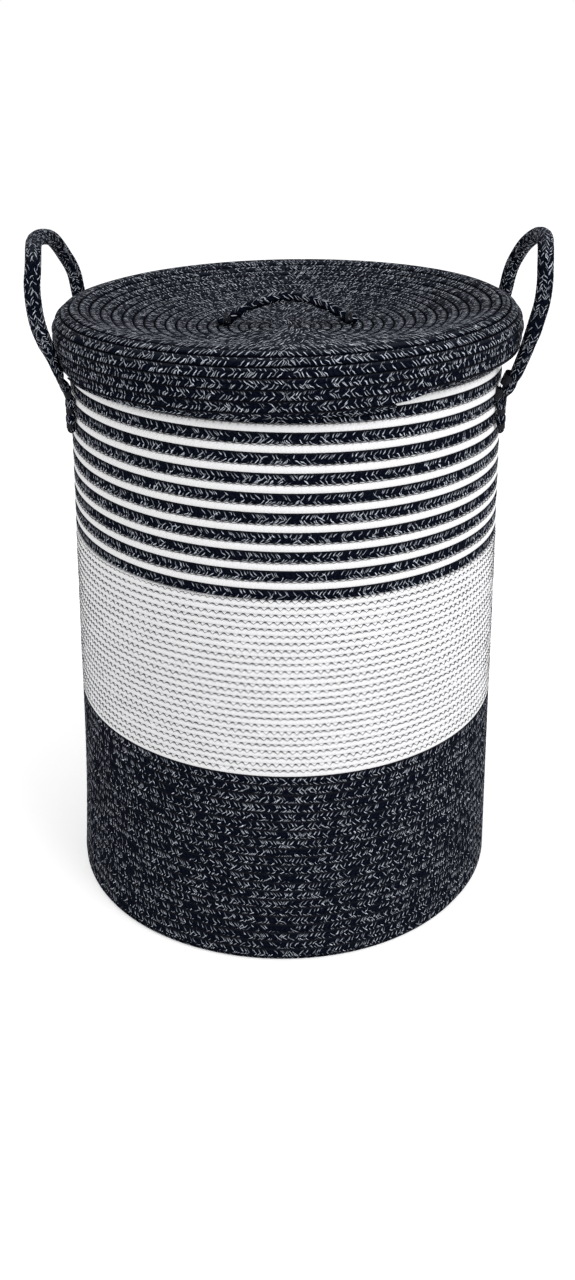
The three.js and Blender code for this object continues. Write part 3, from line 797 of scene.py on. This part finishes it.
def plaited_rope(centre, along, out, radius, lanes, strand, relief, flat=1.0):
    """Rings of a plaited rope with its strands standing proud.

    flat is its thickness along out over its width.
    """
    lean, strand_roundness, lane_roundness, bluntness = 1.15, 0.9, 0.8, 0.985
    side, outward = side_and_out(centre, out)
    sides = lanes * SIDES_PER_LANE
    place = lanes * np.arange(sides + 1) / sides
    u = along / strand
    zigzag = 1 - abs(place % 2 - 1)
    slanted = u[:, None] + lean * zigzag[None, :-1]
    crown = bulge(slanted, strand_roundness) * bulge(place[:-1], lane_roundness)[None]
    width = np.broadcast_to(radius, len(along))[:, None] - relief * (1 - crown)
    end = np.minimum(along, along[-1] - along)
    inward = np.clip(1 - end / np.max(radius), 0, bluntness)
    width = width * np.sqrt(1 - inward**2)[:, None]
    angle = 2 * math.pi * np.arange(sides) / sides
    outward = outward * np.broadcast_to(flat, len(along))[:, None]
    rings = centre[:, None] + width[:, :, None] * circle(side, outward, angle)
    return rings, u, place


def radial(points):
    """Unit vectors from the hamper's axis to the points, level."""
    out = np.array(points, float)
    out[..., 2] = 0
    return unit(out)


def pinched(z, radius, heights):
    """Radius of a rope at heights z, drawn in where it is lashed."""
    nearest = np.min([abs(z - height) for height in heights], axis=0)
    return radius - LASHED_DEPTH * np.exp(-((nearest / LASHED_REACH) ** 2))


def lashing(tubes, centre, travel, radius, flat, wraps, arc):
    """Turns of thread over the outer side of a rope that runs along travel."""
    thread = size("lashing_thread")
    spacing, slant, steps, sides = 0.9, 0.8, 17, 6
    travel = unit(travel)
    side = unit(np.cross(travel, radial(centre)))
    out = np.cross(side, travel)
    angle = np.radians(np.linspace(-arc / 2, arc / 2, steps))
    reach = radius + thread / 2
    round_rope = out * np.cos(angle)[:, None] * reach * flat + side * np.sin(angle)[:, None] * reach
    for n in range(wraps):
        rise = (n - (wraps - 1) / 2) * spacing + np.linspace(-slant / 2, slant / 2, steps)
        offset = round_rope + travel * (rise * thread)[:, None]
        tubes.add(*thread_rings(centre + offset, unit(offset), thread / 2, sides))


# Operators


def wind(winding, name, node, finish, slot="dark_rope", body="basket", crease=DARK_CREASE, moved=np.asarray):
    """Makes the piece of a wound rope; moved is the function that shifts its points."""
    strand, lanes = (size("plait"), DARK_LANES) if slot == "dark_rope" else (size("stitch"), WHITE_LANES)
    tubes = Tubes()
    for rings, along, across in winding.rope(strand, lanes, crease):
        tubes.add(moved(rings), along, across)
    tubes.piece(name, finish, slot, body, [node])


class HamperOperator:
    """What all the hamper's operators share."""

    bl_options = {"REGISTER", "UNDO"}

    def execute(self, context):
        self.make()
        return {"FINISHED"}


class HAMPER_OT_floor(HamperOperator, Operator):
    """Winds the flat floor of dark rope"""

    bl_idname = "hamper.floor"
    bl_label = "Floor"

    def make(self):
        radius = wall_foot() - GAP
        pitch = radius / round(radius / size("dark_rope"))
        turns = round(radius / pitch) + 2
        winding = Winding(floor_face, "dark", pitch, -pitch, turns, level(0), level(radius))
        wind(winding, "floor_rope", "floor_coil", dark_rope_finish("floor_rope"), moved=splayed)


class HAMPER_OT_lower_band(HamperOperator, Operator):
    """Winds the dark band from the floor's edge round the corner and up the wall"""

    bl_idname = "hamper.lower_band"
    bl_label = "Lower band"

    def make(self):
        rope = size("dark_rope")
        corner = size("corner_radius")
        run = size("corner_flat") + corner * (math.pi / 2 - 1) + size("lower_band")
        turns = math.ceil(run / rope) + 2
        top = level(run - EDGE_GAP, middle_pitch())
        first = run - rope * (turns - 1.5)
        winding = Winding(foot_face, "dark", rope, first, turns, level(0), top)
        finish = dark_rope_finish("lower_band_rope")
        wind(winding, "lower_band_rope", "lower_band_coil", finish, moved=splayed)


class HAMPER_OT_middle_band(HamperOperator, Operator):
    """Winds the white band and sews it with dark zigzag thread"""

    bl_idname = "hamper.middle_band"
    bl_label = "Middle band"

    def make(self):
        pitch = middle_pitch()
        base = size("lower_band")
        top = level(base + size("middle_band") - EDGE_GAP, stripe_period())
        turns = setting("middle_turns") + 3
        winding = Winding(wall_face, "white", pitch, base - pitch / 2, turns, level(base, pitch), top)
        finish = white_rope_finish("middle_band_rope")
        wind(winding, "middle_band_rope", "middle_band_coil", finish, "white_rope", crease=0)
        sewing = Tubes()
        winding.zigzag(sewing, down=2.4, up=0.3, thread=size("thread"), seed=5)
        sewing.piece("middle_band_thread", thread_finish("zigzag_thread"), "dark_thread", "basket")


class HAMPER_OT_striped_band(HamperOperator, Operator):
    """Winds a dark and a white rope together"""

    bl_idname = "hamper.striped_band"
    bl_label = "Striped band"
    thread_share = 0.8

    def make(self):
        period = stripe_period()
        base = size("lower_band") + size("middle_band") - period / 2
        turns, ends = setting("stripe_turns"), (level(0), level(size("wall_height")))
        dark = Winding(wall_face, "dark", period, base, turns, *ends, size("dark_stripe"))
        base += size("dark_stripe")
        white = Winding(wall_face, "white", period, base, turns, *ends, size("white_stripe"))
        wind(dark, "dark_stripe_winding", "dark_stripe_rope", dark_rope_finish("dark_stripe_rope"))
        finish = white_rope_finish("white_stripe_rope")
        wind(white, "white_stripe_winding", "white_stripe_rope", finish, "white_rope", crease=0)
        sewing = Tubes()
        thread = size("thread") * self.thread_share
        white.zigzag(sewing, down=0.8, up=0.2, thread=thread, seed=9)
        dark.zigzag(sewing, down=-0.8, up=0.2, thread=thread, seed=13)
        sewing.piece("stripe_thread", thread_finish("stripe_thread"), "dark_thread", "basket")


class HAMPER_OT_rim(HamperOperator, Operator):
    """Winds the dark rim that the lid covers"""

    bl_idname = "hamper.rim"
    bl_label = "Rim"

    def make(self):
        turns = 2
        base = size("lower_band") + size("middle_band") + setting("stripe_turns") * stripe_period()
        pitch = (size("wall_height") - base) / turns
        ends = level(base, stripe_period()), level(size("wall_height") - 2 * GAP)
        winding = Winding(wall_face, "dark", pitch, base - pitch * 1.5, turns + 4, *ends)
        wind(winding, "rim_rope", "rim_coil", dark_rope_finish("rim_rope"))


class HAMPER_OT_lid(HamperOperator, Operator):
    """Winds the lid from its middle over the shoulder and down the skirt"""

    bl_idname = "hamper.lid"
    bl_label = "Lid"

    def make(self):
        turns = round(lid_length() / size("dark_rope"))
        pitch = lid_length() / turns
        winding = Winding(lid_face, "lid", pitch, -pitch, turns + 3, level(0), self.lower_edge)
        finish = dark_rope_finish("lid_rope", share=0.8, crease=-DARK_CREASE, furrow=0.25)
        wind(winding, "lid_rope", "lid_coil", finish, body="lid", crease=-DARK_CREASE, moved=askew)

    @staticmethod
    def lower_edge(turn):
        """Length of the lid's section at each part of a turn; the last turn thins out on the right."""
        return lid_length() + np.interp(turn, *zip(*LID_EDGE))


class HAMPER_OT_side_handles(HamperOperator, Operator):
    """Makes the two side handles and the lashings that hold them to the wall"""

    bl_idname = "hamper.side_handles"
    bl_label = "Side handles"

    def make(self):
        finish = dark_rope_finish("handle_rope", share=0.6, wound=False)
        thread = thread_finish("lashing_thread", glow=0.5)
        for side, name in ((-1, "left"), (1, "right")):
            centre, width, flat = self.handle(side, name, finish)
            sewn, loose = Tubes(), Tubes()
            kinds = [(sewn, *SEWN_LASHING)] * 2 + [(loose, *LOOSE_LASHINGS[name])] * 2
            for half in np.array_split(np.arange(len(centre)), 2):
                for z, (tubes, turns, arc, fullness, shift) in zip(self.lashed_heights(), kinds):
                    here = half[np.argmin(abs(centre[half, 2] - z))]
                    middle = centre[here] - radial(centre[here]) * shift
                    travel = centre[here + 1] - centre[here - 1]
                    lashing(tubes, middle, travel, width[here] * fullness, flat[here], turns, arc)
            bindings = [f"{name}_{end}_binding_{n}" for end in ("front", "back") for n in (1, 2)]
            sewn.piece(f"{name}_lashings", thread, "dark_thread", "basket", bindings)
            loose.piece(f"{name}_handle_lashings", thread, "dark_thread", f"{name}_handle")

    @staticmethod
    def lashed_heights():
        """Heights of the two sewn and the two loose lashings on a leg."""
        below_hinge, above_end = 4.15, 6.35
        hinge = size("handle_hinge")
        sewn = [hinge - below_hinge, hinge - size("handle_tail") + above_end]
        return sewn + [hinge + rise for rise in LOOSE_ABOVE_HINGE]

    def on_wall(self, side, end, z):
        """Centre of a handle rope where it lies on the wall."""
        r = wall_radius(z) + size("handle_rope") / 2 - GAP
        return self.beside(side, r, end * size("handle_spacing") / 2, z)

    @staticmethod
    def pressed(name, centre):
        """Centre line pressed in to where the rope lies, and how wide and flat it is."""
        rises, widths, flats = zip(*PRESSED[name])
        rise = centre[:, 2] - size("handle_hinge")
        width, flat = np.interp(rise, rises, widths), np.interp(rise, rises, flats)
        radius = size("handle_rope") / 2
        return centre - radial(centre) * (1 - width * flat)[:, None] * radius, width * radius, flat

    @staticmethod
    def beside(side, r, y, z):
        """Point on the left or right of the hamper at a radius r from its axis."""
        return np.array([side * math.sqrt(r * r - y * y), y, z])

    def handle(self, side, name, finish):
        """Makes one handle's rope and gives its centre line, half width and flatness."""
        hinge = size("handle_hinge")
        line = size("lid_radius") + size("handle_line")
        route = LOOP_ROUTES[name]
        over_lid = [self.beside(side, line + play, y, hinge + rise) for y, rise, play in route]
        legs = [self.leg(side, LEG_ROUTES[name], end, route[place][0]) for end, place in ((-1, 0), (1, -1))]
        centre, along = smooth_path([*legs[0], *over_lid, *legs[1][::-1]], HANDLE_STEP)
        centre, radius, flat = self.pressed(name, centre)
        width = pinched(centre[:, 2], radius, self.lashed_heights())
        plait = {"lanes": 12, "strand": size("handle_strand"), "relief": 0.65}
        tubes = Tubes()
        tubes.add(*plaited_rope(centre, along, radial(centre), width, flat=flat, **plait))
        nodes = [f"{name}_handle_loop", f"{name}_handle_front_tail", f"{name}_handle_back_tail"]
        piece = tubes.piece(f"{name}_handle_rope", finish, "dark_rope", None, nodes)
        x = self.on_wall(side, 1, hinge)[0]
        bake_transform(piece)
        return centre, width, flat

    def leg(self, side, leg_route, end, loop_y):
        """Points of a handle from its lashed end up to the lower edge of the lid's skirt."""
        radius = size("handle_rope") / 2
        hinge, tail = size("handle_hinge"), size("handle_tail")
        lean_start = hinge + size("handle_straight")
        lid_edge_r, lid_edge_z = lid_face(lid_length(), 0)
        wall_line = wall_radius(lean_start) + radius
        rise = lid_edge_z - GAP - lean_start
        lean = lid_edge_r + radius + size("handle_play") - wall_line
        points = [self.on_wall(side, end, z) for z in (hinge - tail, hinge - tail / 2, hinge, lean_start)]
        for along, up, out in leg_route:
            y = end * size("handle_spacing") / 2 * (1 - along) + loop_y * along
            points.append(self.beside(side, wall_line + out * lean, y, lean_start + up * rise))
        return points


class HAMPER_OT_lid_handle(HamperOperator, Operator):
    """Makes the small rope arch on the lid and the thread that holds its feet"""

    bl_idname = "hamper.lid_handle"
    bl_label = "Lid handle"

    def make(self):
        radius = size("lid_handle_rope") / 2
        half = size("lid_handle_span") / 2
        foot = size("lid_centre") + dish_rise(half) + radius
        points = [[-half - 2 * radius, 0, foot - GAP]]
        for share in LID_HANDLE_STATIONS:
            lift = size("lid_handle_rise") * max(0, math.cos(share * math.pi / 2)) ** LID_HANDLE_FULLNESS
            points.append([share * half, 0, foot + lift])
        points.append([half + 2 * radius, 0, foot - GAP])
        centre, along = smooth_path(askew(points), LID_HANDLE_STEP)
        out = np.tile([0.0, 1.0, 0.0], (len(centre), 1))
        plait = {"lanes": 6, "strand": size("lid_handle_strand"), "relief": 0.6}
        tubes = Tubes()
        tubes.add(*plaited_rope(centre, along, out, radius, **plait))
        finish = dark_rope_finish("lid_handle_rope", wound=False)
        tubes.piece("lid_handle_arch", finish, "dark_rope", "lid_handle", ["lid_handle_rope"])
        stitches, inset, spacing, slant = 5, 2, 1.3, 0.25
        threads = Tubes()
        for side in (-1, 1):
            for n in range(stitches):
                x = side * (half - inset + spacing * n)
                self.foot_stitch(threads, x, foot, radius, slant * (n % 3 - 1))
        threads.piece("lid_handle_stitches", thread_finish("foot_thread", glow=0.5), "dark_thread", "lid")

    @staticmethod
    def foot_stitch(tubes, x, z, radius, slant):
        """One turn of thread over a foot of the lid handle, with both ends in the lid."""
        arc, steps, sides = 230, 15, 5
        angle = np.radians(np.linspace(-arc / 2, arc / 2, steps))
        reach = radius + GAP
        offset = np.stack([slant * angle, reach * np.sin(angle), reach * np.cos(angle)], axis=1)
        path = askew(offset + np.array([x, 0, z]))
        tubes.add(*thread_rings(path, unit(offset), size("foot_thread") / 2, sides))


class HAMPER_OT_stage(HamperOperator, Operator):
    """Sets up the studio floor, the lamps, the world and the camera"""

    bl_idname = "hamper.stage"
    bl_label = "Stage"

    def make(self):
        self.floor()
        self.world()
        self.lamp("key", place=(2.5, -1.9, 2.6), watts=74)
        self.lamp("fill", place=(-2.4, -2.2, 1.4), watts=15)
        pitch_down = 26.99
        camera = placed("camera", bpy.data.cameras.new("camera"))
        camera.data.lens = 33.38
        camera.data.sensor_width = 36
        camera.data.clip_end = 100
        camera.location = (0.0015, -1.0612, 0.7695)
        camera.rotation_euler = (math.radians(90 - pitch_down), 0, 0)
        bpy.context.scene.camera = camera
        bpy.context.scene.view_settings.view_transform = "Standard"

    @staticmethod
    def seen_directly(finish):
        """1 where the camera, a mirror image or a clear pane shows the surface, else 0."""
        camera, glossy, clear = finish.node(
            "ShaderNodeLightPath", {}, {}, "Is Camera Ray", "Is Glossy Ray", "Is Transmission Ray"
        )
        return camera.larger(glossy.larger(clear))

    def floor(self):
        half, seen_glow = 30.0, 0.46
        mesh = bpy.data.meshes.new("studio_floor")
        corners = [(-half, -half, 0), (half, -half, 0), (half, half, 0), (-half, half, 0)]
        mesh.from_pydata(corners, [], [(0, 1, 2, 3)])
        finish = Finish(bpy.data.materials.new("studio_floor"))
        matt = finish.node("ShaderNodeBsdfDiffuse", {}, {"Color": shade("backdrop")}, 0)
        strength = self.seen_directly(finish) * seen_glow
        glow = finish.node("ShaderNodeEmission", {}, {"Strength": strength}, 0)
        both = finish.node("ShaderNodeAddShader", {}, {0: matt, 1: glow}, 0)
        finish.node("ShaderNodeOutputMaterial", {}, {"Surface": both})
        mesh.materials.append(finish.holder)
        floor = placed("studio_floor", mesh)

    def world(self):
        dimmed = 0.65
        finish = Finish(bpy.data.worlds.new("studio"))
        strength = self.seen_directly(finish) * (1 - dimmed) + dimmed
        light = finish.node("ShaderNodeBackground", {}, {"Color": (1, 1, 1, 1), "Strength": strength}, 0)
        finish.node("ShaderNodeOutputWorld", {}, {"Surface": light})
        bpy.context.scene.world = finish.holder

    @staticmethod
    def lamp(name, place, watts):
        hamper_middle = Vector((0, 0, 0.3))
        lamp = placed(name, bpy.data.lights.new(name, "AREA"))
        lamp.data.size = 2.6
        lamp.data.energy = watts
        lamp.location = place
        lamp.rotation_euler = (hamper_middle - lamp.location).to_track_quat("-Z", "Y").to_euler()


OPERATORS = HamperOperator.__subclasses__()


class HAMPER_PT_panel(Panel):
    """Lists the hamper's pieces in the sidebar"""

    bl_idname = "HAMPER_PT_panel"
    bl_label = "Rope hamper"
    bl_space_type = "VIEW_3D"
    bl_region_type = "UI"
    bl_category = "Hamper"

    def draw(self, context):
        for operator in OPERATORS:
            self.layout.operator(operator.bl_idname)
        for name in HamperColours.__annotations__:
            self.layout.prop(context.scene.hamper_colours, name)


CLASSES = (HamperSizes, HamperColours, *OPERATORS, HAMPER_PT_panel)


def register():
    for made in CLASSES:
        bpy.utils.register_class(made)
    bpy.types.Scene.hamper_sizes = PointerProperty(type=HamperSizes)
    bpy.types.Scene.hamper_colours = PointerProperty(type=HamperColours)


def unregister():
    del bpy.types.Scene.hamper_colours
    del bpy.types.Scene.hamper_sizes
    for made in reversed(CLASSES):
        bpy.utils.unregister_class(made)


def main():
    register()
    bpy.ops.hamper.floor()
    bpy.ops.hamper.lower_band()
    bpy.ops.hamper.middle_band()
    bpy.ops.hamper.striped_band()
    bpy.ops.hamper.rim()
    bpy.ops.hamper.lid()
    bpy.ops.hamper.side_handles()
    bpy.ops.hamper.lid_handle()
    bpy.ops.hamper.stage()
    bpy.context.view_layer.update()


if __name__ == "__main__":
    main()
